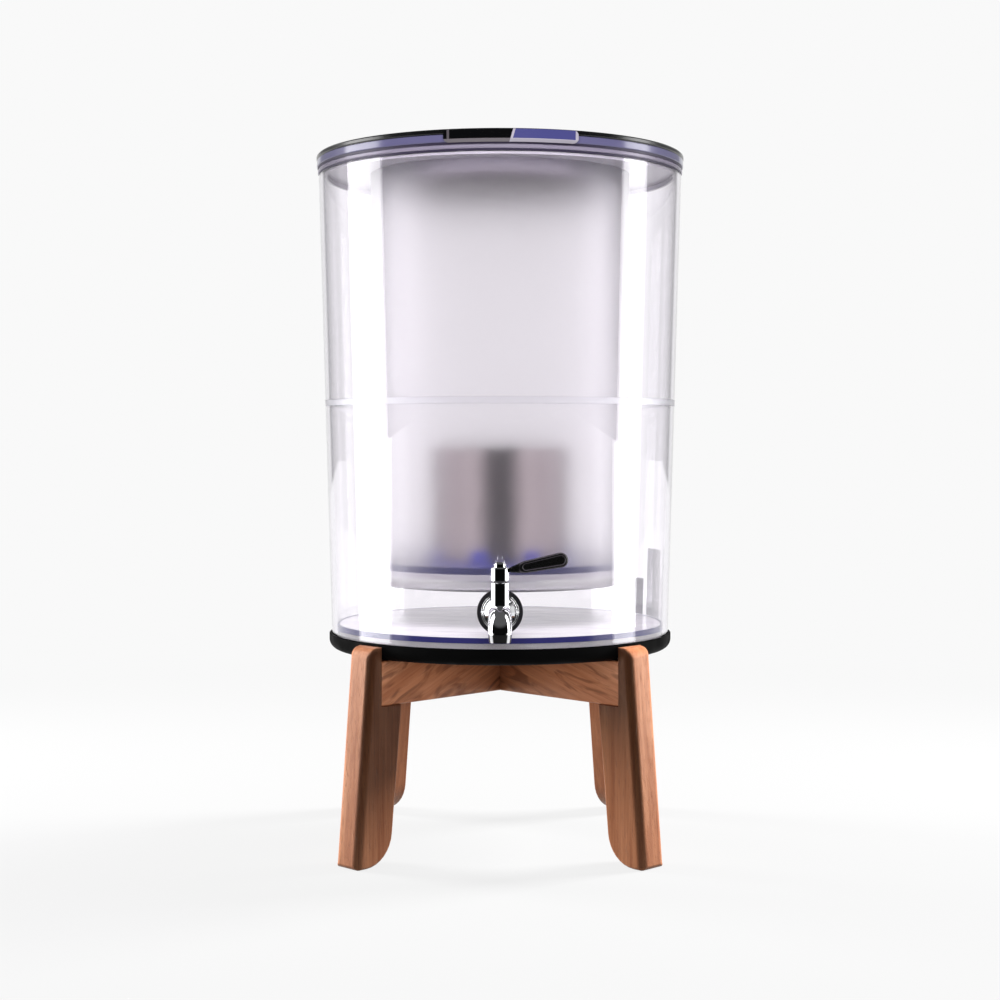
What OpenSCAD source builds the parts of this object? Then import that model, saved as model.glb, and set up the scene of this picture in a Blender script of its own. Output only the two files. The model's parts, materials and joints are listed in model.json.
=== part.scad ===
// Gravity water filter: a frosted upper vessel hangs in a clear tapered tank with a tap,
// and the tank stands on a wooden cross stand.
// Origin: centre of the stand's footprint, on the surface that it stands on.
// +Z is up and the tap faces -Y. All sizes are in millimetres.

/* [Stand] */
// Thickness of a leg board
leg_t = 26; // [22:1:30]
// Width of a leg board, measured outwards from the centre
leg_w = 34; // [30:1:38]
// Length of beam that rests on each leg's ledge
leg_ledge = 19.5; // [15:0.5:22]
// Lean of the legs, in degrees
leg_lean = 5; // [0:0.5:7]
// Rise of the leg tops above the beams
leg_rise = 10.5; // [8:0.5:12]
// Thickness of the crossed beams
beam_t = 24; // [18:1:26]
// Height of the crossed beams
beam_h = 34; // [28:1:40]
// Height of the beams' top face, where the tank stands
seat_z = 154; // [125:1:200]
// Diameter of the hidden wooden dowels
dowel_d = 8; // [6:1:8]
// Diameter of the screw that holds the crossed beams together
lap_screw_d = 4; // [3:0.5:5]

/* [Tank] */
// Outer radius of the tank at its rim
tank_top_r = 146.3; // [136:0.1:180]
// Outer radius of the tank where it enters its base tray
tank_base_r = 135.4; // [125:0.1:146]
// Height from the stand's seat to the tank's rim
tank_h = 378; // [330:1:460]
// Thickness of the tank wall
wall_t = 4; // [3:0.5:5]
// Height of the joint ring above the stand's seat
joint_up = 193.5; // [100:0.5:240]
// Height of the joint ring
joint_h = 5; // [3:0.5:8]
// Thickness of the tank floor
floor_t = 4; // [3:0.5:6]
// Height of the base tray
tray_h = 12.4; // [10:0.2:16]
// Thickness of the tray's rim, floor and ribs
tray_t = 2.2; // [1.6:0.1:3]

/* [Upper vessel] */
// Outer radius of the upper vessel
vessel_r = 104.5; // [86:0.5:114]
// Thickness of the upper vessel's wall
vessel_t = 3; // [2:0.5:4]
// Height of the clear chamber between the tank's floor and the upper vessel
chamber_h = 31; // [29:1:120]
// Outer rounding of the vessel's lower edge
vessel_foot_r = 9; // [6:0.5:12]
// Height of the recess under the vessel's floor
recess_h = 9.5; // [9:0.5:16]
// Thickness of the vessel's floor
vessel_floor_t = 4; // [3:0.5:6]
// Thickness of the hanger ring
hanger_t = 3; // [2.5:0.5:5]
// Height of the seal band on the vessel's floor
band_h = 5; // [3:0.5:8]

/* [Cartridge] */
// Outer radius of the steel filter shell
cart_r = 55; // [45:1:70]
// Height of the steel filter shell
cart_h = 90; // [70:1:130]
// Number of inlet windows at the foot of the shell
windows = 8; // [4:1:10]
// Radius of the hand nut under the vessel
nut_r = 36; // [28:1:45]

/* [Lid] */
// Overhang of the lid beyond the tank's rim
lid_over = 1.7; // [0.5:0.1:5]
// Thickness of the lid's top plate
lid_plate_t = 4; // [3:0.5:6]
// Thickness of the tinted ring under the plate
lid_ring_t = 5.6; // [4:0.2:8]
// Thickness of the gaskets at the rim
gasket_t = 1.8; // [1:0.2:3]
// Radius of the drum under the lid
drum_r = 71; // [50:1:85]
// Depth of the drum below the plate
drum_h = 19; // [12:1:40]
// Length of the grip around the rim
grip_len = 99; // [60:1:140]
// Thickness of the grip, measured outwards
grip_t = 3.2; // [2.6:0.1:6]
// Angle of the grip, measured to the right of the front
grip_turn = 3.2; // [-10:0.1:10]

/* [Tap] */
// Height of the tap's axis above the tank floor
tap_up = 20; // [18.5:0.5:30]
// Diameter of the threaded shank
shank_d = 15.8; // [13:0.1:19]
// Diameter of the outer gasket
outer_gasket_d = 33.8; // [30:0.2:36]
// Diameter of the tap's barrel
barrel_d = 17.2; // [16:0.2:20]
// Diameter of the stem that holds the valve's plug
stem_d = 12.9; // [12.4:0.1:15]
// Height of the stem above the tap's axis
stem_h = 24; // [22:0.5:40]
// Distance from the tank wall to the valve's axis
valve_reach = 30; // [26:1:40]
// Radius of the spout's bend
bend_r = 12; // [11:0.5:16]
// Length of the straight part of the spout
spout_len = 6; // [4:0.5:12]
// Outer diameter of the spout's mouth
mouth_d = 15.3; // [12:0.1:17]
// Diameter of the water way
bore_d = 8; // [6:0.5:8.5]
// Diameter of the valve's plug
plug_d = 9.8; // [9.2:0.1:10.2]
// Diameter of the turning cap
cap_d = 13.3; // [12.4:0.1:16]
// Height of the turning cap
cap_h = 9.4; // [9:0.2:14]
// Length of the lever, from the valve's axis to its tip
lever_len = 49.8; // [40:0.2:60]
// Slope of the lever, in degrees
lever_rise = 11.2; // [0:0.2:14]

/* [Hidden] */
$fn = 96;

// Clearances
bond = 0.05;     // between faces that are glued, pressed or clamped together
running = 0.05;  // radial clearance of a turning fit
rest_gap = 0.02; // between the beams and the tray that stands on them
end_gap = 0.1;   // between stacked pieces of the valve
slip = 0.3;      // radial clearance of a bolt or stem in its hole
loose = 0.7;     // radial clearance of pieces that lift out
cut = 1;         // extra length of a cutting tool
edge = 0.5;      // chamfer of the moulded edges

// Stand
leg_turn = 45;
beam_z = seat_z - beam_h;
tray_r = tank_base_r + tray_t;
shoulder_r = tray_r + loose;
leg_top_z = seat_z + leg_rise;
leg_inner_r = shoulder_r - leg_ledge;
leg_outer_r = leg_inner_r + leg_w;
leg_toe_round = 0.75 * leg_w;
leg_heel_round = 3;
leg_top_round = 9;
dowel_in_beam = 20;
dowel_in_leg = 8;
dowel_edge = 9;
lap_head_d = 2.15 * lap_screw_d;
lap_head_h = 0.65 * lap_screw_d;
lap_screw_h = beam_h - 7;
slot_w = 1;

// Tank, from the bottom up
tray_rim_z = seat_z + tray_h;
tray_foot_round = 7.5;
tray_lip = 8;
rib_circles = 3;
rib_spokes = 12;
hub_r = 30;
skirt_z = tray_rim_z - 6.4;
floor_z = tray_rim_z + 3.8;
floor_top_z = floor_z + floor_t;
joint_z = seat_z + joint_up;
rim_z = seat_z + tank_h;
floor_lip = 4.5;
seal_w = 2;
label_t = 0.25;
function tank_r(z) =
  tank_base_r + (tank_top_r - tank_base_r) * (z - tray_rim_z) / (rim_z - tray_rim_z);

// Upper vessel, from its hanger ring down
hanger_z = rim_z + gasket_t;
hanger_r = tank_top_r + 0.6;
hanger_rib_h = 3.6;
hanger_rib_w = 2.2;
vessel_top_z = hanger_z + hanger_t;
vessel_bottom_z = floor_top_z + chamber_h;
vessel_floor_z = vessel_bottom_z + recess_h;
vessel_floor_top_z = vessel_floor_z + vessel_floor_t;
vessel_inner_r = vessel_r - vessel_t;
band_w = 3.5;

// Cartridge, from the vessel's floor up
post_d = 22;
post_bore_d = 12;
washer_t = 2;
nut_washer_t = 1.5;
nut_h = 5;
cart_z = vessel_floor_top_z + washer_t;
cart_base_h = 3;
cart_base_lip = 4;
shell_z = cart_z + cart_base_h;
shell_t = 1;
shell_inner_r = cart_r - shell_t;
shell_top_z = shell_z + cart_h;
window_w = 13;
window_h = 8.5;
window_up = 1.5;
base_top_z = shell_z + window_up + window_h + 1.5;
cap_skirt_h = 4;
pad_t = 4;
media_top_z = shell_top_z - cap_skirt_h - 0.5;

// Lid, from its gasket up
lid_r = tank_top_r + lid_over;
lid_gasket_z = vessel_top_z;
lid_ring_z = lid_gasket_z + gasket_t;
lid_plate_z = lid_ring_z + lid_ring_t;
lid_top_z = lid_plate_z + lid_plate_t;
drum_t = 2.5;
grip_drop = 0.8;
grip_bevel = 2;
grip_step = 0.4;

// Tap, in a frame whose origin is where its axis meets the tank's outer face
tap_z = floor_top_z + tap_up;
gasket_out_t = 3.2;
escutcheon_t = 3.2;
escutcheon_r = shank_d / 2 + 6;
shoulder_y = gasket_out_t + escutcheon_t;
flange_r = shank_d / 2 + 3.1;
flange_t = 1.6;
flange_len = 5;
plug_bottom = -6.3;
plug_top = stem_h - 4;
ring_seat = 1.8;
ring_wire_r = 0.82;
ring_up = [4, 8.5];
spindle_d = 6;
cap_washer_t = 1.3;
cap_z = stem_h + end_gap + cap_washer_t;
cap_top = cap_z + cap_h;
spindle_top = cap_top - 3.8;
cap_chamfer = 0.8;
outlet_z = -bend_r - spout_len;
lever_z = cap_top - 3.4;
arm_w = 2.4;
arm_h = 2.8;
arm_start = 4.2;
arm_short = 8;
inner_gasket_t = 2.6;
inner_gasket_d = shank_d + 10.2;
locknut_t = 6;
port_d = bore_d - 1;
tap_screw_d = 3;
tap_screw_in = 5;
locknut_d = shank_d + 11.8;
shank_in = wall_t + inner_gasket_t + locknut_t + 6;

// Helpers
function unit(v) = v / norm(v);
function turn(a) = a > 180 ? a - 360 : a < -180 ? a + 360 : a;

// Points of the round that replaces the corner p between the points before and after it.
function round_corner(before, p, after, r, steps = 8) =
  let (
    u = unit(before - p),
    v = unit(after - p),
    half = acos(u * v) / 2,
    centre = p + unit(u + v) * r / sin(half),
    first = p + u * r / tan(half) - centre,
    last = p + v * r / tan(half) - centre,
    a0 = atan2(first[1], first[0]),
    sweep = turn(atan2(last[1], last[0]) - a0)
  )
  [for (i = [0:steps]) centre + r * [cos(a0 + sweep * i / steps), sin(a0 + sweep * i / steps)]];

// A ring or tube between two heights, with its four edges chamfered by c.
module ring(outer, inner, z0, z1, c = 0) {
  rotate_extrude()
    polygon(
      c > 0
      ? [
          [inner + c, z0], [outer - c, z0], [outer, z0 + c], [outer, z1 - c],
          [outer - c, z1], [inner + c, z1], [inner, z1 - c], [inner, z0 + c]
        ]
      : [[inner, z0], [outer, z0], [outer, z1], [inner, z1]]
    );
}

// A disc between two heights, with its rim chamfered by c.
module disc(r, z0, z1, c = edge) {
  rotate_extrude()
    polygon([[0, z0], [r - c, z0], [r, z0 + c], [r, z1 - c], [r - c, z1], [0, z1]]);
}

// A slice of the tapered tank wall.
module wall_slice(z0, z1) {
  rotate_extrude()
    polygon([
      [tank_r(z0) - wall_t, z0], [tank_r(z0), z0],
      [tank_r(z1), z1], [tank_r(z1) - wall_t, z1]
    ]);
}

// The space inside a surface that lies the given distance outside the tank wall's outer face.
module tank_space(out) {
  rotate_extrude($fn = 480)
    polygon([
      [0, skirt_z], [tank_r(skirt_z) + out, skirt_z], [tank_r(rim_z) + out, rim_z], [0, rim_z]
    ]);
}

module tap_frame() {
  translate([0, -tank_r(tap_z), tap_z]) children();
}

module valve_frame() {
  tap_frame() translate([0, -valve_reach, 0]) children();
}

// A cylinder along the tap's axis between two distances from the tank wall, outwards positive.
module tap_bar(r, from, to, r_end = -1) {
  translate([0, -from, 0])
    rotate([90, 0, 0])
      cylinder(r1 = r, r2 = r_end < 0 ? r : r_end, h = to - from);
}

// Stand
module leg_outline() {
  lean = tan(leg_lean);
  inner_foot = [leg_inner_r + beam_z * lean, 0];
  outer_foot = [leg_outer_r + beam_z * lean, 0];
  outer_top = [leg_outer_r - (leg_top_z - beam_z) * lean, leg_top_z];
  inner_top = [shoulder_r, leg_top_z];
  ledge_in = [leg_inner_r, beam_z];
  ledge_out = [shoulder_r, beam_z];
  top_round = min(leg_top_round, 0.85 * (outer_top[0] - shoulder_r));
  polygon(concat(
    round_corner(ledge_in, inner_foot, outer_foot, leg_toe_round),
    round_corner(inner_foot, outer_foot, outer_top, leg_heel_round, 4),
    round_corner(outer_foot, outer_top, inner_top, top_round),
    [inner_top, ledge_out, ledge_in]
  ));
}

module dowel_holes(extra) {
  for (z = [beam_z + dowel_edge, seat_z - dowel_edge])
    translate([shoulder_r - dowel_in_beam - extra, 0, z])
      rotate([0, 90, 0])
        cylinder(d = dowel_d + 2 * extra, h = dowel_in_beam + dowel_in_leg + 2 * extra);
}

module leg(turn_z) {
  color("peru")
    rotate([0, 0, turn_z])
      difference() {
        rotate([90, 0, 0]) linear_extrude(leg_t, center = true) leg_outline();
        dowel_holes(bond);
      }
}

module leg_front_left() leg(180 + leg_turn);
module leg_front_right() leg(-leg_turn);
module leg_back_left() leg(180 - leg_turn);
module leg_back_right() leg(leg_turn);

// One of the two crossed beams, with a half-lap cut from lap_z upwards or downwards.
module beam(turn_z, lap_z, lap_h) {
  notch = beam_t + 2 * bond;
  color("sienna")
    rotate([0, 0, turn_z])
      difference() {
        translate([-shoulder_r, -beam_t / 2, beam_z])
          cube([2 * shoulder_r, beam_t, beam_h - rest_gap]);
        translate([-notch / 2, -beam_t, lap_z]) cube([notch, 2 * beam_t, lap_h]);
        for (side = [0, 180]) rotate([0, 0, side]) dowel_holes(bond);
        translate([0, 0, beam_z - cut]) cylinder(d = lap_screw_d + 2 * bond, h = lap_screw_h + 2 * cut);
        translate([0, 0, beam_z - bond])
          cylinder(d1 = lap_head_d + 2 * slip, d2 = lap_screw_d, h = lap_head_h + slip);
      }
}

module beam_lower() beam(leg_turn, beam_z + beam_h / 2, beam_h);
module beam_upper() beam(-leg_turn, beam_z - beam_h / 2, beam_h);

module leg_dowels() {
  color("burlywood")
    for (k = [0:3])
      rotate([0, 0, leg_turn + 90 * k]) dowel_holes(0);
}

module lap_screw() {
  color("silver")
    translate([0, 0, beam_z])
      difference() {
        union() {
          cylinder(d1 = lap_head_d, d2 = lap_screw_d, h = lap_head_h);
          cylinder(d = lap_screw_d, h = lap_screw_h);
        }
        for (a = [0, 90])
          rotate([0, 0, a])
            translate([-lap_head_d / 4, -slot_w / 2, -cut]) cube([lap_head_d / 2, slot_w, lap_head_h / 2 + cut]);
      }
}

// Tank
module base_tray() {
  rim_in = tank_r(tray_rim_z) + 0.2;
  lip_r = tank_base_r - tray_lip;
  floor_top = seat_z + tray_t;
  color("black")
    union() {
      rotate_extrude()
        polygon(concat(
          [[0, seat_z]],
          round_corner([0, seat_z], [tray_r, seat_z], [tray_r, tray_rim_z], tray_foot_round),
          [
            [tray_r, tray_rim_z - edge], [tray_r - edge, tray_rim_z], [rim_in, tray_rim_z],
            [rim_in, skirt_z], [lip_r, skirt_z], [lip_r, floor_top], [0, floor_top]
          ]
        ));
      for (k = [0:rib_circles - 1])
        let (r = hub_r + k * (lip_r - hub_r) / rib_circles)
        ring(r, r - tray_t, floor_top, floor_z - slip);
      for (k = [0:rib_spokes - 1])
        rotate([0, 0, 360 / rib_spokes * (k + 0.5)])
          translate([hub_r - tray_t / 2, -tray_t / 2, floor_top])
            cube([lip_r + tray_t / 2 - hub_r, tray_t, skirt_z - floor_top]);
    }
}

module tank_lower_section() {
  color("lavender", 0.4)
    difference() {
      wall_slice(skirt_z, joint_z);
      tap_frame() tap_bar(shank_d / 2 + slip, -2 * wall_t, cut);
    }
}

module tank_joint_ring() {
  color("thistle", 0.6) wall_slice(joint_z, joint_z + joint_h);
}

module tank_upper_section() {
  color("lavender", 0.4) wall_slice(joint_z + joint_h, rim_z);
}

// The ring inside the tank's foot that carries its floor.
module floor_ledge() {
  ledge_in = tank_r(floor_z) - wall_t - floor_lip;
  color("lavender", 0.5)
    rotate_extrude()
      polygon([
        [ledge_in, skirt_z], [tank_r(skirt_z) - wall_t - bond, skirt_z],
        [tank_r(floor_z) - wall_t - bond, floor_z], [ledge_in, floor_z]
      ]);
}

module tank_floor() {
  seat_r = tank_r(floor_z) - wall_t - seal_w - 2 * bond;
  color("whitesmoke", 0.7)
    translate([0, 0, floor_z]) cylinder(r = seat_r, h = floor_t);
}

module floor_seal() {
  seat_r = tank_r(floor_z) - wall_t - bond;
  color("midnightblue") ring(seat_r, seat_r - seal_w, floor_z, floor_top_z);
}

module rim_gasket() {
  color("darkslateblue") ring(tank_top_r - slip, tank_top_r - wall_t + slip, rim_z, hanger_z);
}

// Two bare adhesive labels on the right of the tank, behind the middle.
// Each is given as its start angle, its sweep and its height.
module blank_labels() {
  tall = [6, 15, 56];
  short = [24, 10, 30];
  color("silver")
    for (label = [tall, short])
      let (start = label[0], sweep = label[1], z0 = floor_top_z, z1 = floor_top_z + label[2])
      rotate([0, 0, start])
        rotate_extrude(angle = sweep)
          polygon([
            [tank_r(z0) + bond, z0], [tank_r(z0) + label_t, z0],
            [tank_r(z1) + label_t, z1], [tank_r(z1) + bond, z1]
          ]);
}

// Tap, fixed pieces
module tap_outer_gasket() {
  color("black")
    difference() {
      tap_frame() tap_bar(outer_gasket_d / 2, -wall_t, gasket_out_t);
      tank_space(bond);
      tap_frame() tap_bar(shank_d / 2 + slip, -2 * wall_t, 2 * gasket_out_t);
    }
}

module tap_escutcheon() {
  color("silver")
    tap_frame()
      difference() {
        union() {
          tap_bar(escutcheon_r, gasket_out_t, gasket_out_t + edge);
          tap_bar(escutcheon_r, gasket_out_t + edge, shoulder_y, flange_r + edge);
        }
        tap_bar(shank_d / 2 + slip, 0, 2 * shoulder_y);
      }
}

module spout_bend(r) {
  translate([0, -valve_reach, -bend_r])
    rotate([0, -90, 180])
      rotate_extrude(angle = 90) translate([bend_r, 0]) circle(r = r);
}

module tap_body() {
  barrel_r = barrel_d / 2;
  color("silver")
    tap_frame()
      difference() {
        union() {
          tap_bar(shank_d / 2, -shank_in, shoulder_y + cut);
          tap_bar(flange_r, shoulder_y, shoulder_y + flange_t);
          tap_bar(flange_r, shoulder_y + flange_t, shoulder_y + flange_len, barrel_r);
          tap_bar(barrel_r, shoulder_y + flange_len, valve_reach);
          spout_bend(barrel_r);
          translate([0, -valve_reach - bend_r, outlet_z])
            cylinder(r1 = mouth_d / 2, r2 = barrel_r, h = spout_len);
          translate([0, -valve_reach, 0]) cylinder(d = stem_d, h = stem_h - edge);
          translate([0, -valve_reach, stem_h - edge])
            cylinder(r1 = stem_d / 2, r2 = stem_d / 2 - edge, h = edge);
        }
        tap_bar(bore_d / 2, -shank_in - cut, valve_reach);
        spout_bend(bore_d / 2);
        translate([0, -valve_reach - bend_r, outlet_z - cut])
          cylinder(d = bore_d, h = spout_len + cut);
        translate([0, -valve_reach, plug_bottom - end_gap])
          cylinder(r = plug_d / 2 + running, h = stem_h - plug_bottom + cut);
      }
}

module tap_gland() {
  color("goldenrod")
    valve_frame() ring(plug_d / 2, spindle_d / 2 + running, plug_top + end_gap, stem_h);
}

module tap_inner_gasket() {
  color("dimgray")
    difference() {
      intersection() {
        tap_frame() tap_bar(inner_gasket_d / 2, -wall_t - inner_gasket_t, 0);
        tank_space(-wall_t - bond);
      }
      tap_frame() tap_bar(shank_d / 2 + slip, -4 * wall_t, 0);
    }
}

module tap_locknut() {
  near = wall_t + inner_gasket_t;
  color("silver")
    tap_frame()
      difference() {
        translate([0, near + locknut_t, 0])
          rotate([90, 0, 0])
            cylinder(d = locknut_d, h = locknut_t, $fn = 6);
        tap_bar(shank_d / 2 + bond, -near - locknut_t - cut, -near + cut);
      }
}

// Tap, turning pieces
module tap_plug() {
  color("silver")
    valve_frame()
      difference() {
        union() {
          translate([0, 0, plug_bottom]) cylinder(d = plug_d, h = plug_top - plug_bottom);
          translate([0, 0, plug_top]) cylinder(d = spindle_d, h = spindle_top - plug_top);
        }
        translate([-plug_d, 0, 0]) rotate([0, 90, 0]) cylinder(d = port_d, h = 2 * plug_d);
        for (z = ring_up)
          translate([0, 0, port_d])
            ring(plug_d, plug_d / 2 - 2 * ring_wire_r - bond, z - ring_seat / 2, z + ring_seat / 2);
        translate([0, 0, spindle_top - tap_screw_in]) cylinder(d = tap_screw_d, h = tap_screw_in + cut);
      }
}

module tap_plug_rings() {
  color("black")
    valve_frame()
      for (z = ring_up)
        translate([0, 0, port_d + z])
          rotate_extrude() translate([plug_d / 2 - ring_wire_r, 0]) circle(r = ring_wire_r, $fn = 24);
}

module tap_cap_washer() {
  color("black")
    valve_frame() ring(cap_d / 2 - 1, spindle_d / 2 + running, cap_z - cap_washer_t, cap_z);
}

module lever_line() {
  translate([0, 0, lever_z]) rotate([0, -lever_rise, 0]) children();
}

module tap_cap() {
  cap_r = cap_d / 2;
  color("silver")
    valve_frame()
      difference() {
        union() {
          translate([0, 0, cap_z]) cylinder(r = cap_r, h = cap_h - cap_chamfer);
          translate([0, 0, cap_top - cap_chamfer])
            cylinder(r1 = cap_r, r2 = cap_r - cap_chamfer, h = cap_chamfer);
        }
        translate([0, 0, cap_z - cut])
          cylinder(r = spindle_d / 2 + bond, h = spindle_top - cap_z + cut);
        translate([0, 0, cap_z]) cylinder(d = tap_screw_d + 2 * bond, h = cap_h + cut);
        lever_line()
          translate([arm_start - bond, -arm_w / 2 - bond, -arm_h / 2 - bond])
            cube([cap_d, arm_w + 2 * bond, arm_h + 2 * bond]);
      }
}

module tap_cap_screw() {
  head_r = cap_d / 3;
  head_h = 3.6;
  head_chamfer = 1.2;
  color("silver")
    valve_frame()
      difference() {
        union() {
          translate([0, 0, spindle_top - tap_screw_in + slip])
            cylinder(d = tap_screw_d - 2 * bond, h = cap_top - spindle_top + tap_screw_in);
          translate([0, 0, cap_top]) cylinder(r = head_r, h = head_h - head_chamfer);
          translate([0, 0, cap_top + head_h - head_chamfer])
            cylinder(r1 = head_r, r2 = head_r - head_chamfer, h = head_chamfer);
        }
        translate([-head_r - cut, -slot_w / 2, cap_top + head_h / 2])
          cube([2 * head_r + 2 * cut, slot_w, head_h]);
      }
}

module lever_arm() {
  color("silver")
    valve_frame()
      lever_line()
        translate([arm_start, -arm_w / 2, -arm_h / 2])
          cube([lever_len - arm_start - arm_short, arm_w, arm_h]);
}

// A disc across the lever, with a chamfered rim.
module grip_disc(x, r, t) {
  chamfer = 0.8;
  translate([x, 0, 0])
    rotate([90, 0, 0]) {
      cylinder(r = r, h = t - 2 * chamfer, center = true, $fn = 32);
      cylinder(r = r - chamfer, h = t, center = true, $fn = 32);
    }
}

// The grip starts just outside the cap, widens from its neck and has a sunk panel on each side.
module lever_grip() {
  grip_w = 6;
  tip_r = 5.3;
  root_r = 4.3;
  neck_r = 2.2;
  tip_x = lever_len - tip_r;
  root_x = cap_d / 2 + 12.4;
  panel_edge = 1.6;
  panel_depth = 1.1;
  color("black")
    valve_frame()
      lever_line()
        difference() {
          union() {
            hull() {
              grip_disc(cap_d / 2 + slip + neck_r, neck_r, grip_w - 1.4);
              grip_disc(root_x, root_r, grip_w);
            }
            hull() {
              grip_disc(root_x, root_r, grip_w);
              grip_disc(tip_x, tip_r, grip_w);
            }
          }
          for (side = [-1, 1])
            translate([0, side * grip_w / 2, 0])
              hull() {
                grip_disc(root_x, root_r - panel_edge, 2 * panel_depth);
                grip_disc(tip_x, tip_r - panel_edge, 2 * panel_depth);
              }
          translate([0, -arm_w / 2 - bond, -arm_h / 2 - bond])
            cube([lever_len - arm_short + bond, arm_w + 2 * bond, arm_h + 2 * bond]);
        }
}

// Upper vessel
module vessel_wall() {
  z0 = vessel_bottom_z;
  z1 = vessel_top_z;
  lip_r = vessel_r - vessel_foot_r;
  color("white", 0.7)
    rotate_extrude()
      polygon(concat(
        [[lip_r, z0 + vessel_t]],
        round_corner([lip_r - cut, z0], [vessel_r, z0], [vessel_r, z1], vessel_foot_r),
        [[vessel_r, z1], [vessel_inner_r, z1]],
        round_corner(
          [vessel_inner_r, z1], [vessel_inner_r, z0 + vessel_t], [lip_r - cut, z0 + vessel_t],
          vessel_foot_r - vessel_t
        )
      ));
}

module vessel_hanger_ring() {
  rib_z = hanger_z - hanger_rib_h;
  rib_r = tank_r(rib_z) - wall_t - loose;
  color("lavender", 0.6)
    union() {
      ring(hanger_r, vessel_r + bond, hanger_z, vessel_top_z, edge);
      ring(rib_r, rib_r - hanger_rib_w, rib_z, hanger_z + edge);
    }
}

module vessel_floor() {
  color("whitesmoke", 0.8)
    ring(vessel_inner_r - bond, post_d / 2 + slip, vessel_floor_z, vessel_floor_top_z);
}

module vessel_seal() {
  seal_r = vessel_inner_r - bond;
  color("navy") ring(seal_r, seal_r - band_w, vessel_floor_top_z, vessel_floor_top_z + band_h);
}

// Cartridge
module cartridge_shell() {
  color("silver")
    difference() {
      ring(cart_r, shell_inner_r, shell_z, shell_top_z);
      for (k = [0:windows - 1])
        rotate([0, 0, 360 / windows * (k + 0.5) + 5])
          translate([shell_inner_r - cut, -window_w / 2, shell_z + window_up])
            cube([shell_t + 2 * cut, window_w, window_h]);
    }
}

module cartridge_cap() {
  cap_rise = 2;
  skirt_t = 1.5;
  holes = 12;
  hole_d = 4;
  hole_circle_r = 0.6 * cart_r;
  color("silver")
    difference() {
      union() {
        translate([0, 0, shell_top_z]) cylinder(r1 = cart_r, r2 = cart_r - skirt_t, h = cap_rise);
        ring(shell_inner_r - bond, shell_inner_r - skirt_t, shell_top_z - cap_skirt_h, shell_top_z + cut);
      }
      for (k = [0:holes - 1])
        rotate([0, 0, 360 / holes * k])
          translate([hole_circle_r, 0, shell_top_z - cut]) cylinder(d = hole_d, h = cap_rise + 2 * cut);
    }
}

module cartridge_base() {
  collar_t = 3;
  post_z = vessel_bottom_z + cut;
  color("royalblue")
    difference() {
      union() {
        disc(cart_r + cart_base_lip, cart_z, shell_z);
        ring(shell_inner_r - bond, shell_inner_r - collar_t, shell_z - cut, base_top_z);
        translate([0, 0, post_z]) cylinder(d = post_d, h = cart_z + cut - post_z);
      }
      translate([0, 0, post_z - cut]) cylinder(d = post_bore_d, h = shell_z - post_z + 2 * cut);
    }
}

module cartridge_media() {
  color("dimgray")
    translate([0, 0, base_top_z + pad_t])
      cylinder(r = shell_inner_r - slip, h = media_top_z - base_top_z - 2 * pad_t);
}

module cartridge_pads() {
  color("ivory")
    for (z = [base_top_z, media_top_z - pad_t])
      translate([0, 0, z]) cylinder(r = shell_inner_r - slip, h = pad_t);
}

module cartridge_washer() {
  color("ghostwhite") ring(post_d / 2 + 19, post_d / 2 + slip, vessel_floor_top_z, cart_z);
}

module cartridge_nut_washer() {
  color("ghostwhite")
    ring(post_d / 2 + 9, post_d / 2 + slip, vessel_floor_z - nut_washer_t, vessel_floor_z);
}

module cartridge_nut() {
  nut_z = vessel_floor_z - nut_washer_t - nut_h;
  grips = 12;
  groove_r = 5;
  groove_depth = 3;
  color("royalblue")
    difference() {
      disc(nut_r, nut_z, nut_z + nut_h);
      translate([0, 0, nut_z - cut]) cylinder(r = post_d / 2 + bond, h = nut_h + 2 * cut);
      for (k = [0:grips - 1])
        rotate([0, 0, 360 / grips * k])
          translate([nut_r + groove_r - groove_depth, 0, nut_z - cut])
            cylinder(r = groove_r, h = nut_h + 2 * cut);
    }
}

// Lid
module lid_plate() {
  color("black") disc(lid_r, lid_plate_z, lid_top_z, 2 * edge);
}

module lid_ring() {
  color("mediumpurple", 0.5) ring(lid_r - slip, drum_r + bond, lid_ring_z, lid_plate_z, edge);
}

module lid_gasket() {
  gasket_w = 7;
  color("midnightblue") ring(hanger_r, hanger_r - gasket_w, lid_gasket_z, lid_ring_z);
}

module lid_drum() {
  drum_z = lid_plate_z - drum_h;
  color("dimgray")
    difference() {
      disc(drum_r, drum_z, lid_plate_z);
      translate([0, 0, drum_z + drum_t]) cylinder(r = drum_r - drum_t, h = drum_h);
    }
}

// A grip bar that follows the rim, with its right half standing slightly prouder than its left.
module lid_grip() {
  half = grip_len / lid_r * 180 / PI / 2;
  overlap = 0.5;
  inner = lid_r + bond;
  z0 = lid_ring_z - grip_drop;
  z1 = lid_top_z - 2 * edge;
  end_r = 3.5;
  color("slategray")
    rotate([0, 0, -90 + grip_turn])
      for (side = [-1, 1])
        let (
          outer = inner + grip_t + (side > 0 ? grip_step : 0),
          start = side < 0 ? -half : 0,
          sweep = side < 0 ? half + overlap : half
        )
        difference() {
          rotate([0, 0, start])
            rotate_extrude(angle = sweep)
              polygon([
                [inner, z0], [outer - grip_bevel, z0], [outer, z0 + grip_bevel],
                [outer, z1 - edge], [outer - edge, z1], [inner, z1]
              ]);
          rotate([0, 0, side * half])
            translate([lid_r - cut, 0, z0])
              rotate([0, 90, 0])
                grip_corner(side, end_r, z1 - z0);
        }
}

// Cuts the two corners of the grip's end round, seen from outside the rim.
module grip_corner(side, r, h) {
  depth = 12;
  for (top = [0, 1])
    translate([top ? -h : 0, 0, 0])
      mirror([top, 0, 0])
        difference() {
          translate([-r, side < 0 ? -cut : -r, 0]) cube([r + cut, r + cut, depth]);
          translate([-r, side < 0 ? r : -r, -cut]) cylinder(r = r, h = depth + 2 * cut);
        }
}

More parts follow.
